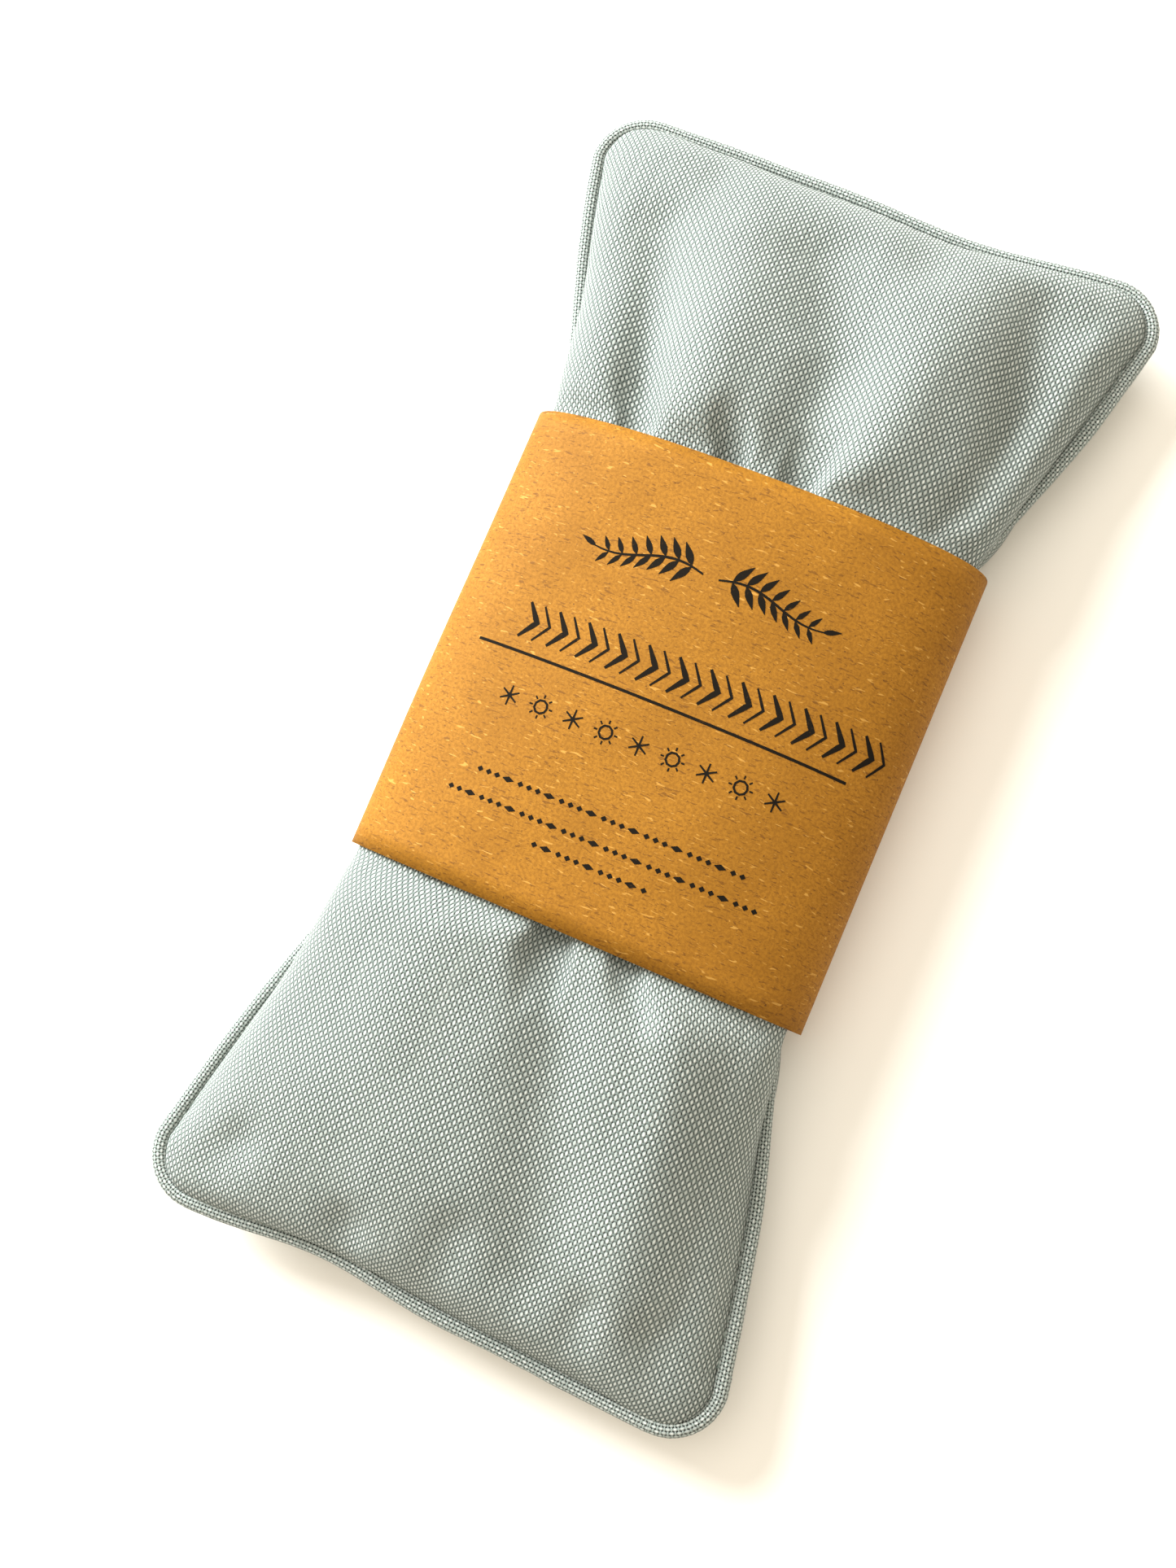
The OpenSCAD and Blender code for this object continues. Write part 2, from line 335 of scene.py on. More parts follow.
def flaxseed_finish():
    finish = Finish("flaxseed_coat", roughness=0.35, Specular_IOR_Level=0.5, Coat_Roughness=0.25)
    at = finish.place()
    each = finish.noise(at, 420, 0.0)
    fine = finish.noise(at, 2600, 2.0)
    seed = finish.mix(each.ramp(0.38, 0.62), (0.13, 0.048, 0.020), (0.30, 0.125, 0.045))
    finish.colour(finish.mix(fine.ramp(0.55, 0.75) * 0.5, seed, (0.42, 0.22, 0.09)))
    finish.rough(0.30 + 0.2 * fine)
    finish.bump(fine, 0.00003, 0.5)
    return finish.material


def lavender_finish():
    finish = Finish("lavender_bud", roughness=0.75, Sheen_Weight=0.3)
    at = finish.place()
    rib = finish.noise(finish.turned(at, scale=(2600, 700, 2600)), 1.0, 2.0)
    body = finish.noise(at, 500, 2.0)
    purple = finish.mix(body.ramp(0.4, 0.62), (0.070, 0.062, 0.150), (0.210, 0.200, 0.300))
    finish.colour(finish.mix(rib.ramp(0.55, 0.72), purple, (0.40, 0.42, 0.34)))
    finish.bump(rib, 0.00012, 0.8)
    return finish.material


def glue_finish():
    finish = Finish("dried_glue", roughness=0.3, Specular_IOR_Level=0.5)
    cloud = finish.noise(finish.place(), 300, 2.0)
    finish.colour(finish.mix(cloud, (0.55, 0.40, 0.20), (0.66, 0.52, 0.30)))
    finish.rough(0.22 + 0.25 * cloud)
    finish.bump(cloud, 0.00005, 0.5)
    return finish.material


SAGE = dict(
    low=(0.125, 0.158, 0.147),
    warp_colour=(0.300, 0.338, 0.320),
    weft_colour=(0.180, 0.216, 0.204),
    # painted highlight colour for the lit crests of the warp floats
    painted_highlight_colour=(0.720, 0.745, 0.725),
    # painted shade in the gaps between the threads
    painted_gap_shade=(0.003, 0.005, 0.005),
)
cover_linen = linen("sage_linen", **SAGE)
# painted light: a lighter copy of the same sage linen for the seam roll, lifting the shade on the rolled edge
PAINTED_LIGHT_SAGE = {**SAGE, "low": (0.26, 0.31, 0.29), "weft_colour": (0.34, 0.39, 0.37)}
roll_linen = linen("sage_linen_edge", slub=0.7, pitch=(0.58, 0.66), **PAINTED_LIGHT_SAGE)
sage_thread = thread_finish("sage_thread", (0.48, 0.57, 0.53), (0.20, 0.27, 0.25))
cream_thread = thread_finish("cream_thread", (0.72, 0.66, 0.54), (0.40, 0.34, 0.24))
muslin = muslin_finish()
kraft = kraft_finish()
ink = ink_finish()
seed_coat = flaxseed_finish()
bud_coat = lavender_finish()
glue = glue_finish()


# ---------------------------------------------------------------- the cover's shape
def flare(y):
    """0 at the band, 1 at the corners."""
    side = np.sign(y - BAND_Y)
    past = np.clip((np.abs(y - BAND_Y) - 47) / (104 - BAND_Y * side - 47), 0, 1)
    return 0.8 * past + 0.2 * np.sin(past * math.pi / 2)


def half_width(y):
    return WAIST_HALF + (CORNER_HALF - WAIST_HALF) * flare(y)


def squeezed(y):
    """1 under the band, 0 from 36 mm past its edges."""
    off = np.maximum(np.abs(y - BAND_Y) - BAND_HALF, 0)
    share = np.clip(1 - off / 36, 0, 1)
    return share * share * (3 - 2 * share)


def station_rows(inset, tuck=0.0):
    """Places of the rows along y, and each row's half width, inside the outline by inset.
    tuck is how much further in the band presses it."""
    half_l, r = LENGTH / 2 - inset, CORNER_R - inset
    turn = np.linspace(0, math.pi / 2, CORNER_ROWS + 1)[1:]
    middle = np.linspace(-(half_l - r), half_l - r, ALONG - 2 * CORNER_ROWS)
    top = half_l - r + r * np.sin(turn)
    y = np.concatenate([-top[::-1], middle, top])
    over = np.maximum(np.abs(y) - (half_l - r), 0)
    w = half_width(y) - inset - tuck * squeezed(y) - (r - np.sqrt(np.maximum(r * r - over * over, 0)))
    return y, w


def bow(x, y):
    """How far a place is drawn towards the middle, where the ends curve in."""
    share = np.clip((np.abs(y) - 20) / 95, 0, 1) ** 3
    head = END_BOW * np.exp(-(((x - 19) / 20) ** 2)) + 0.5 * np.exp(-(((x + 15) / 16) ** 2))
    foot = FOOT_BOW * np.exp(-(((x + 19) / 18) ** 2)) + 0.6 * np.exp(-(((x - 16) / 14) ** 2))
    return -np.sign(y) * share * np.where(y > 0, head, foot)


def lean(x, y):
    """The left side is drawn in a little more than the right, halfway along each lobe."""
    halfway = np.exp(-(((np.abs(y - BAND_Y) - 68) / 22) ** 2))
    return 1.1 * halfway * np.clip(-x / 40, 0, 1) ** 2


def seam_height(x, y):
    """The sewn edge isn't quite level."""
    lift = 0.9 * np.sin(y / 31.0 + 0.8 * np.tanh(x / 25)) + 0.5 * np.sin(y / 13.0 + 1.0 + x / 40)
    far = np.clip((np.abs(y - BAND_Y) - BAND_HALF) / 25, 0, 1)
    return SEAM_Z + lift * far


# crests and valleys of the cloth: (x, y) places on a curve, half width, height, from end to end
FOLDS = [
    (((-25, 48), (-28, 62), (-31, 73), (-36, 90)), 4.4, -4.6, -1.4),
    (((-13, 50), (-16, 70), (-20, 92)), 6.5, 2.2, 1.1),
    (((4, 50), (6, 62), (6, 76), (-3, 94)), 6.2, -2.5, -1.6),
    (((18, 50), (20, 70), (21, 92)), 6.5, 2.4, 1.0),
    (((37, 50), (42, 64), (40, 80), (37, 99)), 5.2, -4.2, -2.2),
    (((-39, 50), (-44, 66), (-47, 84)), 4.0, -1.0, 0.0),
    (((47, 74), (50, 90), (51, 102)), 3.6, 0.9, 0.5),
    (((-38, -39), (-41, -50), (-45, -62)), 3.4, -2.0, -0.1),
    (((-20, -39), (-22, -60), (-20, -90)), 9.0, 0.9, 0.3),
    (((1, -39), (7, -57), (12, -74), (17, -96)), 6.2, -2.3, -1.5),
    (((24, -39), (28, -56), (31, -74), (33, -96)), 5.2, 1.4, 1.0),
    (((38, -40), (42, -58), (45, -74), (47, -92)), 4.6, -2.0, -1.3),
    (((-16, -40), (-12, -52)), 4.0, -0.7, 0.0),
    (((-16, -104), (-14, -111)), 4.0, -1.1, -0.6),
    (((3, -96), (2, -110)), 4.5, -0.9, -0.7),
    (((29, -99), (30, -109)), 4.0, -1.1, -0.6),
    (((41, -98), (47, -105)), 3.4, -1.0, -0.5),
    (((-40, -98), (-48, -106)), 4.0, -0.9, -0.4),
    (((-30, 104), (-33, 112)), 5.0, -0.6, -0.4),
    (((14, 100), (12, 112)), 6.0, -0.7, -0.5),
    (((45, 100), (50, 108)), 4.0, -0.8, -0.5),
]


def folds_at(x, y, folds):
    """Height added by the folds at each place."""
    total = np.zeros_like(x)
    for places, wide, start, end in folds:
        places = np.array(places, float)
        span = np.linalg.norm(np.diff(places, axis=0), axis=1)
        run = np.concatenate([[0], np.cumsum(span)])
        fine = np.linspace(0, run[-1], 40)
        px, py = np.interp(fine, run, places[:, 0]), np.interp(fine, run, places[:, 1])
        away = np.hypot(x[..., None] - px, y[..., None] - py)
        nearest = away.argmin(-1)
        share = nearest / 39
        tall = start + (end - start) * share
        total += tall * np.exp(-((away.min(-1) / (wide * (1 + 0.35 * share))) ** 2))
    return total


def fold_room(side):
    """0 at the sewn edge, 1 from 9 mm inside it."""
    y, w = station_rows(PANEL_IN, PANEL_TUCK)
    return np.clip((w[:, None] - np.abs(side[..., 0])) / 9, 0, 1) * np.clip((112.5 - np.abs(side[..., 1])) / 7, 0, 1)


def smooth_noise(shape, seed, rounds):
    noise = np.random.default_rng(seed).normal(size=shape)
    for _ in range(rounds):
        padded = np.pad(noise, 1, mode="edge")
        noise = (padded[1:-1, 1:-1] + padded[:-2, 1:-1] + padded[2:, 1:-1] + padded[1:-1, :-2] + padded[1:-1, 2:]) / 5
    return noise / np.abs(noise).max()


def base_cover():
    """The filled cover before the cloth settles: front and back as (2, rows, columns, 3),
    and each point's place on the flat panels as (2, rows, columns, 2)."""
    y, w = station_rows(PANEL_IN, PANEL_TUCK)
    out = np.zeros((2, ALONG, ACROSS, 3))
    flat = np.zeros((2, ALONG, ACROSS, 2))
    half_l = LENGTH / 2 - PANEL_IN
    turn = np.linspace(-math.pi / 2, math.pi / 2, 401)
    s = np.sin(turn)
    for side in (0, 1):
        for row in range(ALONG):
            v = abs(y[row]) / half_l
            gone = float(flare(y[row]))
            ends = max(1 - v ** (4.6 if y[row] > 0 else 3.4), 0) ** 0.64
            pressed = float(squeezed(y[row]))
            x = w[row] * (s + 0.42 * pressed * s * np.cos(turn))
            if side == 0:
                z = CROWN * ends * np.cos(turn) ** (1.0 + 0.08 * gone)
            else:
                loose = np.minimum(1.0, 1.16 * np.maximum(1 - np.abs(s) ** 2.6, 0) ** 0.5)
                tight = np.minimum(1.0, 1.3 * np.cos(turn) ** 0.75)
                flatness = loose + (tight - loose) * pressed
                under = BAND_GAP * np.clip(1 - (abs(y[row] - BAND_Y) - BAND_HALF - 1) / 9, 0, 1)
                z = -(SEAM_Z - under) * flatness * min(1.0, 1.12 * max(1 - v**5, 0) ** 0.55)
            arc = np.concatenate([[0], np.cumsum(np.hypot(np.diff(x), np.diff(z)))])
            at = np.linspace(0, arc[-1], ACROSS)
            px, pz = np.interp(at, arc, x), np.interp(at, arc, z)
            out[side, row, :, 0] = px
            out[side, row, :, 1] = y[row]
            out[side, row, :, 2] = pz
            flat[side, row, :, 0] = at - arc[-1] / 2
    middle = out[:, :, ACROSS // 2]
    step = np.linalg.norm(np.diff(middle, axis=1), axis=-1)
    flat[:, 1:, :, 1] = np.cumsum(step, axis=1)[..., None]
    flat[..., 1] -= flat[:, ALONG // 2, 0, 1][:, None, None]
    x, yy = out[..., 0].copy(), out[..., 1].copy()
    out[..., 1] += bow(x, yy)
    out[..., 0] += lean(x, yy)
    rim = 1 - np.abs(out[..., 2]) / CROWN
    out[..., 2] += SEAM_Z + (seam_height(x, yy) - SEAM_Z) * np.clip(rim, 0, 1) ** 2
    clear = np.clip((np.abs(yy - BAND_Y) - BAND_HALF + 4) / 6, 0, 1)
    raised = folds_at(x[0], yy[0], FOLDS) + 0.5 * smooth_noise((ALONG, ACROSS), 5, 14)
    out[0, ..., 2] += raised * fold_room(out[0]) * clear[0]
    return out, flat


def pairs(step_row, step_col):
    """Slices that join each point to one a step away, in groups that use no point twice."""
    span = step_row or step_col
    count = ALONG if step_row else ACROSS
    for phase in (0, 1):
        index = np.array([i for i in range(count - span) if (i // span) % 2 == phase])
        if step_row and step_col:
            first = slice(max(0, -step_col), ACROSS - max(0, step_col))
            second = slice(max(0, step_col), ACROSS - max(0, -step_col))
            yield (slice(None), index, first), (slice(None), index + step_row, second)
        elif step_row:
            yield (slice(None), index), (slice(None), index + step_row)
        else:
            yield (slice(None), slice(None), index), (slice(None), slice(None), index + step_col)


def settle(base, flat, steps, slack=1.03, reach=2.6):
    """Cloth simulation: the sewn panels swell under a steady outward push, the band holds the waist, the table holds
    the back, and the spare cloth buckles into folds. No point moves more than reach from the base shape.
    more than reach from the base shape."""
    cut = flat.copy()
    widest = flat[:, ALONG // 4, -1, 0][:, None, None]
    row_half = flat[..., -1, 0][..., None]
    near = np.clip(1.6 - np.abs(base[..., 1] - BAND_Y) / 70, 0, 1)
    cut[..., 0] *= 1 + (np.clip(widest / row_half, 1, 1.12) * slack - 1) * near
    threads = (0, 1, 1.0), (1, 0, 1.0), (1, 1, 0.15), (1, -1, 0.15)
    struts = (0, 2, 0.22), (2, 0, 0.22), (0, 4, 0.12), (4, 0, 0.12)
    ties = []
    for dr, dc, stiff in threads + struts:
        for a, b in pairs(dr, dc):
            rest = np.linalg.norm(cut[b] - cut[a], axis=-1)[..., None]
            ties.append((a, b, rest, stiff, max(dr, dc) > 1))
    ragged = np.stack([smooth_noise((ALONG, ACROSS), 11, 5), smooth_noise((ALONG, ACROSS), 12, 5)])
    rim = np.zeros((ALONG, ACROSS), bool)
    rim[0] = rim[-1] = rim[:, 0] = rim[:, -1] = True
    points = base.copy()
    points[..., 2] += 0.25 * ragged * ~rim
    before = points.copy()
    for _ in range(steps):
        moved = (points - before) * 0.96
        before = points.copy()
        across, along = np.gradient(points, axis=2), np.gradient(points, axis=1)
        outward = np.cross(across, along)
        outward[1] *= -1
        push = outward * 0.0016
        push[..., 2] -= 0.0007
        points += np.clip(moved + push, -0.4, 0.4)
        for a, b, rest, stiff, strut in ties:
            gap = points[b] - points[a]
            length = np.linalg.norm(gap, axis=-1, keepdims=True) + 1e-9
            over = length - rest
            if strut:
                over = np.minimum(over, 0)
            shift = gap * (0.5 * stiff * over / length)
            points[a] += shift
            points[b] -= shift
        points[:, rim] = base[:, rim]
        off = np.maximum(np.abs(points[..., 1] - BAND_Y) - BAND_HALF - 1, 0)
        up = points[..., 2] - SEAM_Z
        wide, tall = 44.9 + 0.3 * off * off, np.where(up > 0, 15.35, 14.0) + 0.3 * off * off
        out = (np.abs(points[..., 0]) / wide) ** 2 + (np.abs(up) / tall) ** 2.667
        pull = np.where(out > 1, np.maximum(out, 1) ** -0.42, 1.0)
        points[..., 0] *= pull
        points[..., 2] = SEAM_Z + up * np.where(up > 0, pull, 1)
        low = BAND_GAP * np.clip(1 - (np.abs(points[..., 1] - BAND_Y) - BAND_HALF - 1) / 9, 0, 1)
        points[..., 2] = np.maximum(points[..., 2], low)
        drift = points - base
        far = np.linalg.norm(drift, axis=-1, keepdims=True)
        points = base + drift * np.minimum(1, reach / np.maximum(far, 1e-9))
    return points


def refine(grid):
    """Twice as many points each way, on the smooth surface through them."""
    for axis in (-3, -2):
        grid = np.moveaxis(grid, axis, 0)
        ends = np.concatenate([2 * grid[:1] - grid[1:2], grid, 2 * grid[-1:] - grid[-2:-1]])
        between = (9 * (ends[1:-2] + ends[2:-1]) - ends[:-3] - ends[3:]) / 16
        fine = np.empty((2 * len(grid) - 1, *grid.shape[1:]))
        fine[0::2], fine[1::2] = grid, between
        grid = np.moveaxis(fine, 0, axis)
    return grid


# ---------------------------------------------------------------- mesh words
def make_piece(name, points, faces, material, uv=None, layer="cloth", smooth=True):
    """A mesh piece from points in mm, faces, and a UV place in mm for every point."""
    mesh = bpy.data.meshes.new(name)
    mesh.from_pydata((np.asarray(points).reshape(-1, 3) / 1000).tolist(), [], faces)
    if uv is not None:
        spots = np.asarray(uv).reshape(-1, 2) / 1000
        loops = np.empty(len(mesh.loops), int)
        mesh.loops.foreach_get("vertex_index", loops)
        mesh.uv_layers.new(name=layer).data.foreach_set("uv", spots[loops].ravel())
    mesh.materials.append(material)
    mesh.polygons.foreach_set("use_smooth", [smooth] * len(mesh.polygons))
    mesh.update()
    made = bpy.data.objects.new(name, mesh)
    bpy.context.scene.collection.objects.link(made)
    return made


def grid_faces(rows, cols, start=0, closed=False, flip=False):
    """Quads of a grid; closed joins the last row to the first."""
    faces = []
    for r in range(rows if closed else rows - 1):
        for c in range(cols - 1):
            a, b = start + r * cols + c, start + (r + 1) % rows * cols + c
            quad = (a, a + 1, b + 1, b)
            faces.append(quad[::-1] if flip else quad)
    return faces


def surface_normals(grid, flip=False):
    n = np.cross(np.gradient(grid, axis=1), np.gradient(grid, axis=0))
    n /= np.linalg.norm(n, axis=-1, keepdims=True) + 1e-12
    return -n if flip else n


def cloth_shell(name, grid, flat, thick, material, flip=False):
    """A closed thin shell of cloth whose outer side is grid. thick may vary by point."""
    rows, cols = grid.shape[:2]
    inner = grid - surface_normals(grid, flip) * (np.asarray(thick) * np.ones((rows, cols)))[..., None]
    count = rows * cols
    faces = grid_faces(rows, cols, 0, flip=flip) + grid_faces(rows, cols, count, flip=not flip)
    edge = [(0, c) for c in range(cols - 1)] + [(r, cols - 1) for r in range(rows - 1)]
    edge += [(rows - 1, c) for c in range(cols - 1, 0, -1)] + [(r, 0) for r in range(rows - 1, 0, -1)]
    ids = [r * cols + c for r, c in edge]
    for a, b in zip(ids, ids[1:] + ids[:1]):
        wall = (a, a + count, b + count, b)
        faces.append(wall[::-1] if flip else wall)
    return make_piece(name, np.stack([grid, inner]), faces, material, np.stack([flat, flat]))


def loop_tube(name, path, radii, spots_around, material, flatten=1.0):
    """A closed tube round a closed path in mm. radii gives one radius for each path point."""
    ahead = np.roll(path, -1, 0) - np.roll(path, 1, 0)
    ahead /= np.linalg.norm(ahead, axis=1, keepdims=True)
    side = np.cross(ahead, [0, 0, 1.0])
    side /= np.linalg.norm(side, axis=1, keepdims=True)
    up = np.cross(side, ahead)
    turn = np.linspace(0, 2 * math.pi, spots_around + 1)[:-1]
    ring = side[:, None] * np.cos(turn)[None, :, None] + flatten * up[:, None] * np.sin(turn)[None, :, None]
    points = path[:, None] + ring * radii[:, None, None]
    run = np.concatenate([[0], np.cumsum(np.linalg.norm(np.diff(path, axis=0), axis=1))])
    rows, cols = len(path), spots_around
    faces, spots = [], []
    total = run[-1] + np.linalg.norm(path[0] - path[-1])
    for r in range(rows):
        for c in range(cols):
            a, b = r * cols + c, (r + 1) % rows * cols + c
            a1, b1 = r * cols + (c + 1) % cols, (r + 1) % rows * cols + (c + 1) % cols
            faces.append((a, b, b1, a1))
            here, there = run[r], run[r + 1] if r + 1 < rows else total
            girth = 2 * math.pi * 1.25 / cols
            spots += [(c * girth, here), (c * girth, there), ((c + 1) * girth, there), ((c + 1) * girth, here)]
    made = make_piece(name, points, faces, material)
    made.data.uv_layers.new(name="cloth").data.foreach_set("uv", (np.array(spots) / 1000).ravel())
    return made


def rim_path(inset, tuck):
    """The outline, inset, as a closed loop of points in mm, counter-clockwise from above."""
    y, w = station_rows(inset, tuck)
    right = np.stack([w, y], 1)
    across = np.linspace(w[-1], -w[-1], 50)[1:-1]
    top = np.stack([across, np.full(48, y[-1])], 1)
    loop = np.concatenate([right, top, (right * [-1, 1])[::-1], (top * -1)])
    step = np.concatenate([[0], np.cumsum(np.linalg.norm(np.diff(np.vstack([loop, loop[:1]]), axis=0), axis=1))])
    even = np.linspace(0, step[-1], 901)[:-1]
    shut = np.vstack([loop, loop[:1]])
    x, yy = np.interp(even, step, shut[:, 0]), np.interp(even, step, shut[:, 1])
    z = seam_height(x, yy)
    return np.stack([x + lean(x, yy), yy + bow(x, yy), z], 1)


# ---------------------------------------------------------------- cover, pouch and filling
base, flat = base_cover()
cover = settle(base, flat, 700)
calm = np.clip((np.abs(cover[0, ..., 1] - BAND_Y) - BAND_HALF) / 8, 0, 1) * fold_room(cover[0])
cover[0, ..., 2] += 0.6 * calm * folds_at(cover[0, ..., 0], cover[0, ..., 1], FOLDS)

front = refine(cover[0])
front_flat = refine(flat[0])
front_panel = cloth_shell("cover_front_panel", front, front_flat, LINEN_T, cover_linen)

back = refine(cover[1])
back_flat = refine(flat[1])
row_y = back[:, back.shape[1] // 2, 1]
lap_from = np.abs(row_y - LONG_HEM_Y).argmin()
lap_to = np.abs(row_y - FLAP_HEM_Y).argmin()
flap_grid = back[: lap_to + 1]
hem = np.clip((flap_grid[..., 1] - (FLAP_HEM_Y - 9)) / 1.0, 0, 1)
flap = cloth_shell(
    "cover_back_flap_panel", flap_grid, back_flat[: lap_to + 1], LINEN_T + 0.4 * hem, cover_linen, flip=True
)
long_grid = back[lap_from:].copy()
lift = LAP_LIFT * np.clip((FLAP_HEM_Y + 6 - long_grid[..., 1]) / 6, 0, 1)
long_grid = long_grid - surface_normals(long_grid, True) * lift[..., None]
hem = np.clip(((LONG_HEM_Y + 9) - long_grid[..., 1]) / 1.0, 0, 1)
long_flat = back_flat[lap_from:] + [3.0, 1.7]
long_panel = cloth_shell(
    "cover_back_long_panel", long_grid, long_flat, LINEN_T + 0.4 * hem, cover_linen, flip=True
)

roll_path = rim_path(ROLL_IN, ROLL_TUCK)
turn = np.arange(len(roll_path))
uneven = smooth_noise((len(roll_path), 3), 21, 6)[:, 1] * 0.12 + 0.05 * np.sin(turn * 0.21)
swell = 0.12 * (roll_path[:, 1] < -100)
roll_radii = ROLL_R - 0.25 * squeezed(roll_path[:, 1]) + uneven * 0.6 + swell
seam_roll = loop_tube("cover_seam_roll", roll_path, roll_radii, 12, roll_linen, flatten=0.78)


def inner_lens(gap, edge, soften):
    """A closed shape inside the cover: gap from its skin, drawn to its own seam at edge rows."""
    inside = cover[:, edge:-edge, edge:-edge]
    mid, half = (inside[0] + inside[1]) / 2, (inside[0] - inside[1]) / 2
    rows, cols = mid.shape[:2]
    r = np.minimum(np.arange(rows), np.arange(rows)[::-1])[:, None]
    c = np.minimum(np.arange(cols), np.arange(cols)[::-1])[None]
    near = np.clip(np.minimum(r / soften, c / soften), 0, 1)
    thick = np.linalg.norm(half, axis=-1, keepdims=True) + 1e-9
    share = np.clip(1 - gap / thick, 0.02, 1) * np.maximum(1 - (1 - near) ** 2, 0)[..., None] ** 0.5
    return np.stack([mid + half * share, mid - half * share]) * [0.93, 0.99, 1], flat[:, edge:-edge, edge:-edge]


def lens_piece(name, lens, spots, material):
    """Two sides joined at their rim as one closed mesh."""
    rows, cols = lens.shape[1:3]
    front_ids = np.arange(rows * cols).reshape(rows, cols)
    back_ids = np.full((rows, cols), -1)
    for rim in ((0,), (-1,), (slice(None), 0), (slice(None), -1)):
        back_ids[rim] = front_ids[rim]
    free = back_ids < 0
    back_ids[free] = rows * cols + np.arange(free.sum())
    points = np.concatenate([lens[0].reshape(-1, 3), lens[1][free]])
    uv = np.concatenate([spots[0].reshape(-1, 2), spots[1][free]])
    faces = grid_faces(rows, cols)
    for r in range(rows - 1):
        for c in range(cols - 1):
            faces.append((back_ids[r, c], back_ids[r + 1, c], back_ids[r + 1, c + 1], back_ids[r, c + 1]))
    faces = [tuple(int(i) for i in f) for f in faces]
    return make_piece(name, points, faces, material, uv)


pouch_lens, pouch_flat = inner_lens(2.0, 2, 5.0)
pouch = lens_piece("muslin_pouch", pouch_lens, pouch_flat, muslin)
fill_lens, fill_flat = inner_lens(3.4, 4, 5.0)
fill_heap = lens_piece("flaxseed_heap", fill_lens, fill_flat, seed_coat)

# ---------------------------------------------------------------- kraft band
BAND_X, BAND_TOP, BAND_LOW = 45.35, 15.85, 14.5
LAP_X = 10.0


def band_turns(count):
    """The strip's inner side from the under lap, once round, to the outer lap's end, in mm."""
    turn = np.radians(np.linspace(-90, 270, 1441))
    x = BAND_X * np.cos(turn)
    s = np.sin(turn)
    z = np.where(s >= 0, SEAM_Z + BAND_TOP * np.abs(s) ** 0.75, SEAM_Z - BAND_LOW * np.abs(s) ** 0.75)
    z = np.maximum(z, CARD_T)
    line = np.stack([x, z], 1)
    keep = line[(np.abs(x) > LAP_X) | (z > SEAM_Z)]
    under = np.array([[LAP_X, CARD_T + 0.45], [0, CARD_T + 0.45], [-LAP_X, CARD_T + 0.45], [-LAP_X - 5, CARD_T + 0.1]])
    left = keep[::-1]
    left = left[np.where(left[:, 0] < -LAP_X - 6)[0][0] :]
    end = np.array([[LAP_X, CARD_T], [0, CARD_T], [-LAP_X, CARD_T]])
    path = np.concatenate([under, left, end])
    run = np.concatenate([[0], np.cumsum(np.linalg.norm(np.diff(path, axis=0), axis=1))])
    even = np.linspace(0, run[-1], count)
    out = np.stack([np.interp(even, run, path[:, 0]), np.interp(even, run, path[:, 1])], 1)
    return out, even


def band_surface(flat_x, y, rise):
    """Places on the band's top: flat_x from its middle along the paper, y along the pillow."""
    line, run = band_turns(720)
    crown = run[line[:, 1].argmax()]
    at = crown + flat_x
    x, z = np.interp(at, run, line[:, 0]), np.interp(at, run, line[:, 1])
    dx, dz = np.gradient(line[:, 0], run), np.gradient(line[:, 1], run)
    nx, nz = -np.interp(at, run, dz), np.interp(at, run, dx)
    size = np.hypot(nx, nz)
    nx, nz = nx / size, nz / size
    rise = rise + CARD_T + band_wave(at, y)
    return np.stack([x + nx * rise, y + 0 * x, z + nz * rise], -1)


def band_wave(run, y):
    """The paper isn't quite true: long shallow waves, fading at the edges of the sheet."""
    top = np.clip((run - 50) / 12, 0, 1) * np.clip((160 - run) / 12, 0, 1)
    return top * (0.10 * np.sin(run / 9.0 + y / 17) + 0.08 * np.sin(run / 5.3 - y / 11 + 1))


around, across_rows = 241, 25
band_line, band_run = band_turns(around)
dx, dz = np.gradient(band_line[:, 0], band_run), np.gradient(band_line[:, 1], band_run)
normal = np.stack([-dz, dx], 1) / np.hypot(dx, dz)[:, None]
band_y = np.linspace(BAND_Y - BAND_HALF, BAND_Y + BAND_HALF, across_rows)
wave = band_wave(band_run[:, None], band_y[None])
outer = np.zeros((around, across_rows, 3))
outer[..., 1] = band_y
for axis, place in ((0, 0), (2, 1)):
    outer[..., axis] = band_line[:, place][:, None] + normal[:, place][:, None] * (CARD_T + wave)
band_flat = np.stack(np.broadcast_arrays(band_run[:, None], band_y[None]), -1)


def paper_shell(name, grid, spots, thick, material):
    made = cloth_shell(name, grid, spots, thick, material, flip=True)
    made.data.uv_layers[0].name = "flat"
    return made


band = paper_shell("kraft_belly_band", outer, band_flat, CARD_T, kraft)


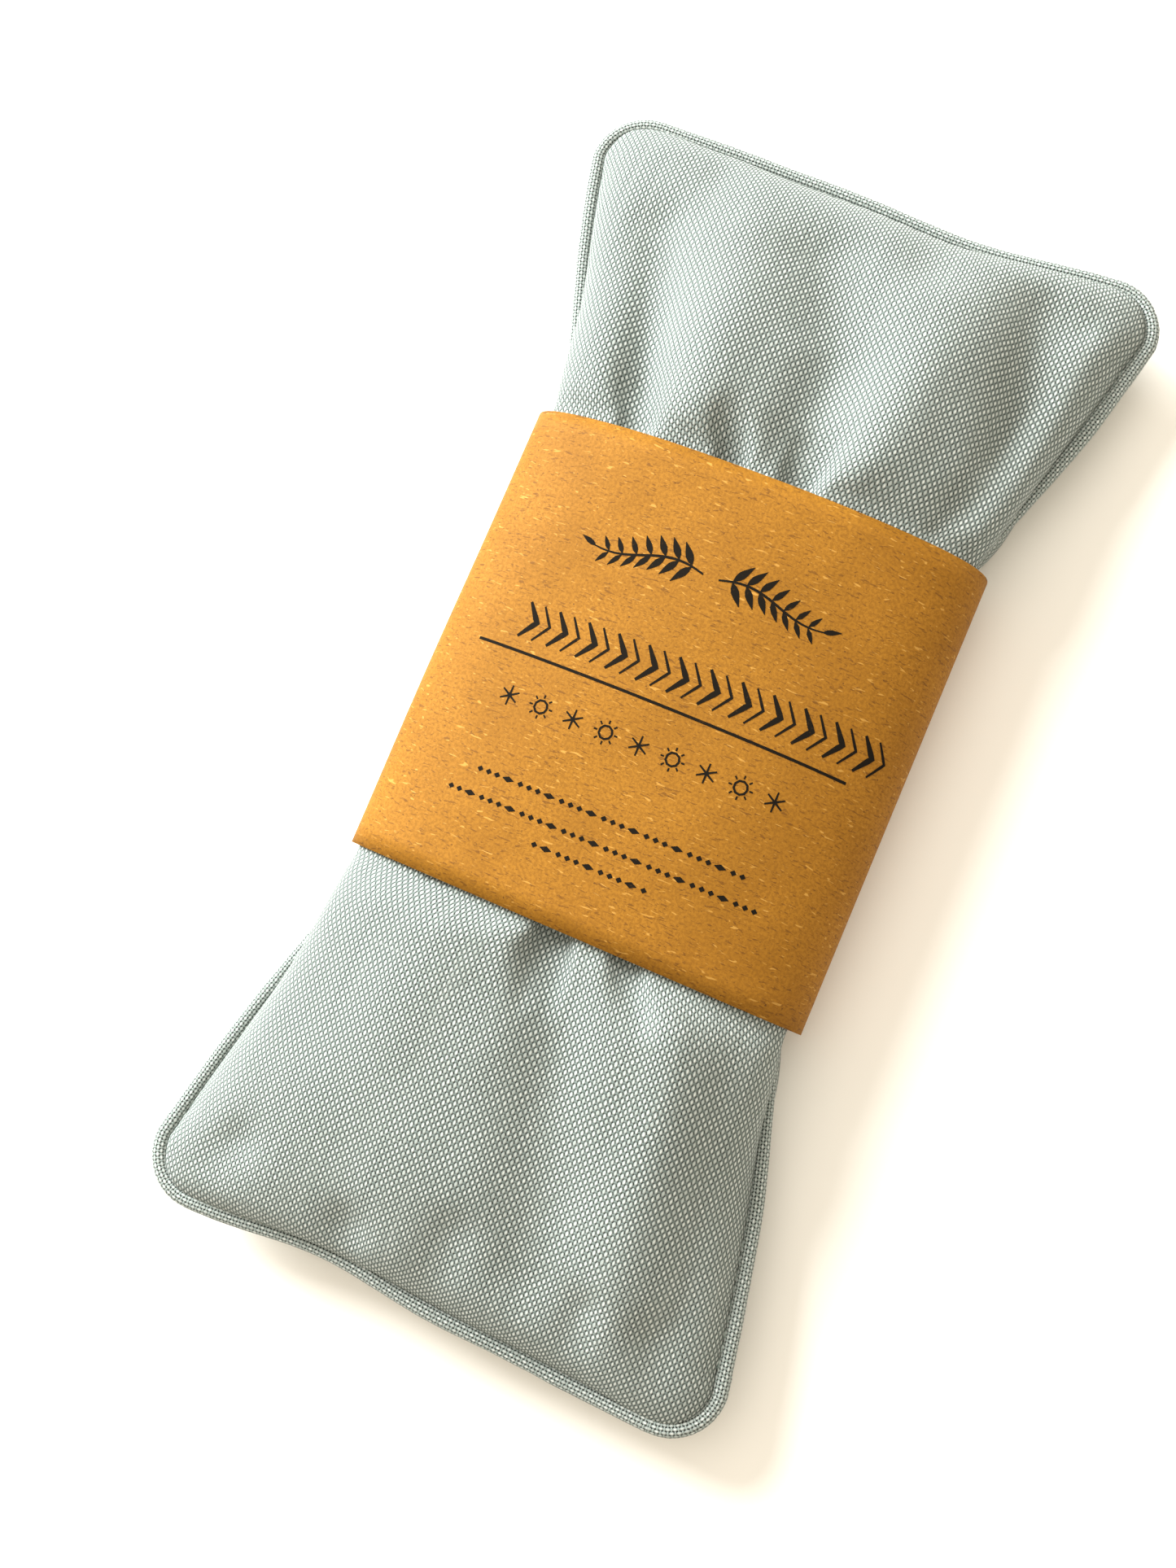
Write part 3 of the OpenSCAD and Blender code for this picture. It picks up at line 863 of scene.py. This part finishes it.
# ---------------------------------------------------------------- printed ornament
class Print:
    """Ink strokes on the flat paper, then wrapped on the band."""

    def __init__(self):
        self.points, self.faces = [], []

    def stroke(self, places, widths):
        """A stroke along places (x, y) in mm from the band's middle, as wide as widths."""
        places = np.array(places, float)
        step = np.linalg.norm(np.diff(places, axis=0), axis=1)
        run = np.concatenate([[0], np.cumsum(step)])
        count = max(3, int(run[-1] / 0.8) + 1)
        even = np.linspace(0, run[-1], count)
        line = np.stack([np.interp(even, run, places[:, 0]), np.interp(even, run, places[:, 1])], 1)
        wide = np.interp(even / run[-1], np.linspace(0, 1, len(widths)), widths)
        ahead = np.gradient(line, axis=0)
        ahead /= np.linalg.norm(ahead, axis=1, keepdims=True)
        side = np.stack([-ahead[:, 1], ahead[:, 0]], 1)
        lanes = np.array([-1.0, -0.5, 0, 0.5, 1.0]) if max(widths) > 1.5 else np.array([-1.0, 0, 1.0])
        spots = line[:, None] + side[:, None] * (lanes[None, :, None] * wide[:, None, None] / 2)
        start = sum(len(p) for p in self.points)
        cols = len(lanes)
        top = band_surface(spots[..., 0], BAND_Y + spots[..., 1], 0.045).reshape(-1, 3)
        low = band_surface(spots[..., 0], BAND_Y + spots[..., 1], -0.02).reshape(-1, 3)
        self.points += [top, low]
        size = count * cols
        self.faces += grid_faces(count, cols, start, flip=True) + grid_faces(count, cols, start + size)
        edge = [c for c in range(cols - 1)] + [r * cols + cols - 1 for r in range(count - 1)]
        edge += [(count - 1) * cols + c for c in range(cols - 1, 0, -1)] + [r * cols for r in range(count - 1, 0, -1)]
        for a, b in zip(edge, edge[1:] + edge[:1]):
            self.faces.append((start + a, start + b, start + size + b, start + size + a))

    def leaf(self, x, y, angle, long, wide):
        tip = (x + long * math.cos(angle), y + long * math.sin(angle))
        self.stroke([(x, y), tip], [0.12, wide * 0.75, wide, wide * 0.8, wide * 0.45, 0.1])

    def ring(self, x, y, radius, wide):
        turns = np.linspace(0, 2 * math.pi, 25)
        self.stroke([(x + radius * math.cos(t), y + radius * math.sin(t)) for t in turns], [wide, wide])

    def dot(self, x, y, size):
        self.stroke([(x - size / 2, y), (x + size / 2, y)], [0.15, size * 0.8, size, size * 0.8, 0.15])


ornament = Print()
# two laid sprigs of herb, tip to tip
for side in (-1, 1):
    stem = [(side * d, 23.4 + 1.4 * math.sin(d / 4.2)) for d in np.linspace(1.5, 22.5, 16)]
    ornament.stroke(stem, [0.35, 0.5, 0.45, 0.25])
    for k, d in enumerate(np.linspace(4, 19.5, 7)):
        y = 23.4 + 1.4 * math.sin(d / 4.2)
        size = 4.6 - 0.28 * k
        for up in (-1, 1):
            angle = up * 0.95 if side > 0 else math.pi - up * 0.95
            ornament.leaf(side * d, y + 0.15 * up, angle, size, 1.5 - 0.08 * k)
    ornament.leaf(side * 22.2, 23.4 + 1.4 * math.sin(22.2 / 4.2), 0.35 if side > 0 else math.pi - 0.35, 3.4, 1.1)
# a broad woven border
for k in range(12):
    x = -30 + k * 6.0 + 0.6
    ornament.stroke([(x, 1.6), (x + 2.6, 5.0), (x, 8.4)], [0.5, 1.25, 0.5])
    ornament.stroke([(x + 2.9, 8.4), (x + 5.3, 5.0), (x + 2.9, 1.6)], [0.35, 0.6, 0.35])
# a rule
ornament.stroke([(-36.5, -1.0), (36.5, -1.0)], [0.55, 0.55])
# small round and pointed motifs
for k in range(9):
    x = -26 + k * 6.5
    if k % 2:
        ornament.ring(x, -9.2, 1.25, 0.42)
        for t in range(8):
            a = t * math.pi / 4
            ray = [(x + r * math.cos(a), -9.2 + r * math.sin(a)) for r in (1.65, 2.3)]
            ornament.stroke(ray, [0.3, 0.3])
    else:
        for t in range(3):
            a = t * math.pi / 3 + math.pi / 6
            ray = [(x + r * math.cos(a), -9.2 + r * math.sin(a)) for r in (-1.9, 1.9)]
            ornament.stroke(ray, [0.3, 0.42, 0.3])
# three fine rows of beads and dashes
for row, (y, low, high) in enumerate(((-23.6, -26, 26), (-28.4, -30, 31), (-32.6, -11, 12))):
    x, k = float(low), row
    while x < high:
        if k % 4 == 3:
            ornament.leaf(x, y, 0.0, 2.2, 1.25)
            x += 3.0
        else:
            ornament.dot(x + 0.6, y, 1.1)
            x += 1.75
        k += 1
band_ink = make_piece("band_ornament_ink", np.concatenate(ornament.points), ornament.faces, ink, smooth=False)


# ---------------------------------------------------------------- repeated shapes
class NodeTree:
    """A Geometry Nodes tree with named inputs."""

    def __init__(self, name, inputs):
        self.tree = bpy.data.node_groups.new(name, "GeometryNodeTree")
        self.ids = {}
        face = self.tree.interface
        face.new_socket("Geometry", in_out="INPUT", socket_type="NodeSocketGeometry")
        for label, kind, value in inputs:
            made = face.new_socket(label, in_out="INPUT", socket_type=kind)
            made.default_value = value
            self.ids[label] = made.identifier
        face.new_socket("Geometry", in_out="OUTPUT", socket_type="NodeSocketGeometry")
        self.inputs = self.tree.nodes.new("NodeGroupInput")
        self.out = self.tree.nodes.new("NodeGroupOutput")

    def node(self, kind, inputs=(), output=0, **settings):
        made = self.tree.nodes.new(kind)
        for name, value in settings.items():
            setattr(made, name, value)
        for name, value in dict(inputs).items():
            if hasattr(value, "is_linked"):
                self.tree.links.new(value, made.inputs[name])
            else:
                made.inputs[name].default_value = value
        return made.outputs[output]

    def given(self, label):
        return self.inputs.outputs[label]

    def finish(self, geometry, material):
        real = self.node("GeometryNodeRealizeInstances", {"Geometry": geometry})
        shaded = self.node("GeometryNodeSetShadeSmooth", {"Geometry": real})
        last = self.node("GeometryNodeSetMaterial", {"Geometry": shaded, "Material": material})
        self.tree.links.new(last, self.out.inputs[0])
        return self


def stitch_tree(material):
    tree = NodeTree(
        "stitch_row",
        [("Pitch", "NodeSocketFloat", 0.0026), ("Stitch", "NodeSocketFloat", 0.002), ("Thread", "NodeSocketFloat", 0.00042), ("Seed", "NodeSocketInt", 3)],
    )
    curve = tree.node("GeometryNodeMeshToCurve", {"Mesh": tree.given("Geometry")})
    even = tree.node("GeometryNodeResampleCurve", {"Curve": curve, "Length": tree.given("Pitch")}, mode="LENGTH")
    tangent = tree.node("GeometryNodeInputTangent")
    facing = tree.node("FunctionNodeAlignRotationToVector", {"Vector": tangent}, axis="X")
    wobble = tree.node("FunctionNodeRandomValue", {2: 0.86, 3: 1.1, "Seed": tree.given("Seed")}, output=1, data_type="FLOAT")
    size = tree.node("ShaderNodeCombineXYZ", {0: tree.given("Stitch"), 1: tree.given("Thread"), 2: tree.given("Thread")})
    size = tree.node("ShaderNodeVectorMath", {0: size, 3: wobble}, operation="SCALE")
    shape = tree.node("GeometryNodeMeshUVSphere", {"Segments": 6, "Rings": 5, "Radius": 0.5})
    placed = tree.node("GeometryNodeInstanceOnPoints", {"Points": even, "Instance": shape, "Rotation": facing, "Scale": size})
    return tree.finish(placed, material)


def seed_tree(material):
    tree = NodeTree(
        "seed_layer",
        [("Density", "NodeSocketFloat", 120000.0), ("Seed Length", "NodeSocketFloat", 0.0046), ("Seed Width", "NodeSocketFloat", 0.0023), ("Seed", "NodeSocketInt", 8)],
    )
    spots = tree.tree.nodes.new("GeometryNodeDistributePointsOnFaces")
    tree.tree.links.new(tree.given("Geometry"), spots.inputs["Mesh"])
    tree.tree.links.new(tree.given("Density"), spots.inputs["Density"])
    tree.tree.links.new(tree.given("Seed"), spots.inputs["Seed"])
    spin = tree.node("FunctionNodeRandomValue", {0: (0, 0, 0), 1: (0.5, 0.5, 6.28), "Seed": tree.given("Seed")}, output=0, data_type="FLOAT_VECTOR")
    spin = tree.node("FunctionNodeEulerToRotation", {"Euler": spin})
    turned = tree.node("FunctionNodeRotateRotation", {"Rotation": spots.outputs["Rotation"], "Rotate By": spin}, rotation_space="LOCAL")
    size = tree.node("ShaderNodeCombineXYZ", {0: tree.given("Seed Length"), 1: tree.given("Seed Width"), 2: 0.0011})
    shape = tree.node("GeometryNodeMeshUVSphere", {"Segments": 6, "Rings": 4, "Radius": 0.5})
    placed = tree.node("GeometryNodeInstanceOnPoints", {"Points": spots.outputs["Points"], "Instance": shape, "Rotation": turned, "Scale": size})
    both = tree.tree.nodes.new("GeometryNodeJoinGeometry")
    tree.tree.links.new(placed, both.inputs[0])
    tree.tree.links.new(tree.given("Geometry"), both.inputs[0])
    return tree.finish(both.outputs[0], material)


def grown(name, source, tree, **values):
    """The tree's result on source as a plain mesh piece; source is removed."""
    held = source.modifiers.new("grow", "NODES")
    held.node_group = tree.tree
    for label, value in values.items():
        held[tree.ids[label.replace("_", " ")]] = value
    source.update_tag()
    result = source.evaluated_get(bpy.context.evaluated_depsgraph_get())
    mesh = bpy.data.meshes.new_from_object(result)
    mesh.name = name
    source.modifiers.remove(held)
    bpy.data.objects.remove(source)
    made = bpy.data.objects.new(name, mesh)
    bpy.context.scene.collection.objects.link(made)
    return made


def wire(name, path, closed):
    """Bare edges along a path in mm, for a tree to follow."""
    mesh = bpy.data.meshes.new(name)
    count = len(path)
    edges = [(i, i + 1) for i in range(count - 1)] + ([(count - 1, 0)] if closed else [])
    mesh.from_pydata((np.asarray(path) / 1000).tolist(), edges, [])
    made = bpy.data.objects.new(name, mesh)
    bpy.context.scene.collection.objects.link(made)
    return made


sage_stitches = stitch_tree(sage_thread)
cream_stitches = stitch_tree(cream_thread)
ditch = rim_path(PANEL_IN + 0.15, PANEL_TUCK)
ditch[:, 2] += 0.25
ditch_wire = wire("ditch", ditch, True)
seam_stitches = grown(
    "cover_seam_stitches", ditch_wire, sage_stitches, Pitch=0.0026, Stitch=0.0021, Thread=0.00042
)


def hem_path(grid, y, drop):
    """A line across a panel at y, on its outer side."""
    rows = grid[:, grid.shape[1] // 2, 1]
    row = int(np.abs(rows - y).argmin())
    line = grid[row, 8:-8].copy()
    line[:, 2] -= drop
    return line


flap_hem = wire("flap_hem", hem_path(flap_grid, FLAP_HEM_Y - 7, 0.05), False)
flap_stitches = grown("flap_hem_stitches", flap_hem, sage_stitches, Pitch=0.0026, Stitch=0.0021)
long_hem = wire("long_hem", hem_path(long_grid, LONG_HEM_Y + 7, 0.05), False)
long_stitches = grown("long_panel_hem_stitches", long_hem, sage_stitches, Pitch=0.0026, Stitch=0.0021)

rows, cols = pouch_lens.shape[1:3]
ids = [(0, c) for c in range(cols - 1)] + [(r, cols - 1) for r in range(rows - 1)]
ids += [(rows - 1, c) for c in range(cols - 1, 0, -1)] + [(r, 0) for r in range(rows - 1, 0, -1)]
pouch_rim = np.array([pouch_lens[0, r, c] for r, c in ids])
pouch_stitches = grown("pouch_seam_stitches", wire("pouch_rim", pouch_rim, True), cream_stitches, Pitch=0.003, Stitch=0.0024)
shut = pouch_lens[0, -2, 12:-12].copy()
shut[:, 2] += 0.15
closing_stitches = grown("pouch_closing_stitches", wire("pouch_shut", shut, False), cream_stitches, Pitch=0.0055, Stitch=0.0045)

seeds = grown("flaxseed_grains", fill_heap, seed_tree(seed_coat), Density=90000.0)

# ---------------------------------------------------------------- finishes on carried-over nodes
for name, finish in (("lavender_buds", bud_coat), ("band_glue", glue)):
    node = frame["nodes"][name]
    for place in node.material_slots:
        place.material = finish

# ---------------------------------------------------------------- riding and replacing
PIECES = [
    (front_panel, "pillow", "linen", ("cover_front",)),
    (flap, "pillow", "linen", ("cover_back_flap",)),
    (long_panel, "pillow", "linen", ("cover_back_long",)),
    (seam_roll, "pillow", "linen_edge", ("cover_seam_allowance",)),
    (seam_stitches, "pillow", "thread", ("cover_seam_thread",)),
    (flap_stitches, "pillow", "thread", ("flap_hem_thread",)),
    (long_stitches, "pillow", "thread", ("long_panel_hem_thread",)),
    (pouch, "pillow", "muslin", ("pouch_front", "pouch_back")),
    (pouch_stitches, "pillow", "thread", ("pouch_seam_thread",)),
    (closing_stitches, "pillow", "thread", ("pouch_closing_thread",)),
    (seeds, "pillow", "flaxseed", ("flaxseed_fill",)),
    (band, "band", "kraft", ("belly_band",)),
    (band_ink, "band", "ink", ("band_print",)),
]
for piece, body, slot, nodes in PIECES:
    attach(piece, body)
    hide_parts(*nodes)


def flat_size(spots):
    return float(np.ptp(spots[..., 0])) / 1000, float(np.ptp(spots[..., 1])) / 1000


flat_size(front_flat)
flat_size(back_flat[: lap_to + 1])
flat_size(back_flat[lap_from:])

# ---------------------------------------------------------------- floor, light, camera
floor_mesh = bpy.data.meshes.new("floor")
floor_mesh.from_pydata([(-6, -6, 0), (6, -6, 0), (6, 6, 0), (-6, 6, 0)], [], [(0, 1, 2, 3)])
floor = bpy.data.objects.new("floor", floor_mesh)
bpy.context.scene.collection.objects.link(floor)
paper = Finish("floor_white", roughness=0.9, Specular_IOR_Level=0.1)
paper.colour((0.93, 0.905, 0.86, 1))
floor_mesh.materials.append(paper.material)
floor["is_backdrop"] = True

world = bpy.data.worlds.new("studio")
world.use_nodes = True
world.node_tree.nodes["Background"].inputs["Color"].default_value = (1.0, 0.90, 0.74, 1)
world.node_tree.nodes["Background"].inputs["Strength"].default_value = 0.88
bpy.context.scene.world = world


def soft_light(name, place, aim, size, power, colour=(1, 1, 1)):
    lamp = bpy.data.lights.new(name, "AREA")
    lamp.shape, lamp.size, lamp.energy, lamp.color = "DISK", size, power, colour
    made = bpy.data.objects.new(name, lamp)
    made.location = place
    made.rotation_euler = (Vector(aim) - Vector(place)).to_track_quat("-Z", "Y").to_euler()
    bpy.context.scene.collection.objects.link(made)


soft_light("window", (-1.06, 0.54, 0.58), (0, 0, 0.01), 0.9, 58.0, (0.95, 0.985, 0.99))
soft_light("ceiling", (-0.3, 0.4, 1.5), (0, 0, 0), 1.4, 7.0, (1.0, 0.97, 0.92))

camera_data = bpy.data.cameras.new("camera")
camera_data.sensor_width = 36
camera_data.lens = 37.36
camera = bpy.data.objects.new("camera", camera_data)
camera.location = (0.0460, -0.0384, 0.3117)
camera.rotation_euler = Euler((math.radians(8.52), math.radians(7.54), math.radians(23.42)), "XYZ")
bpy.context.scene.collection.objects.link(camera)
bpy.context.scene.camera = camera
bpy.context.scene.view_settings.view_transform = "Standard"

plain = lambda box: [[float(v) for v in corner] for corner in box]
{"cad": plain(cad_box), "visual": plain(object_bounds())}
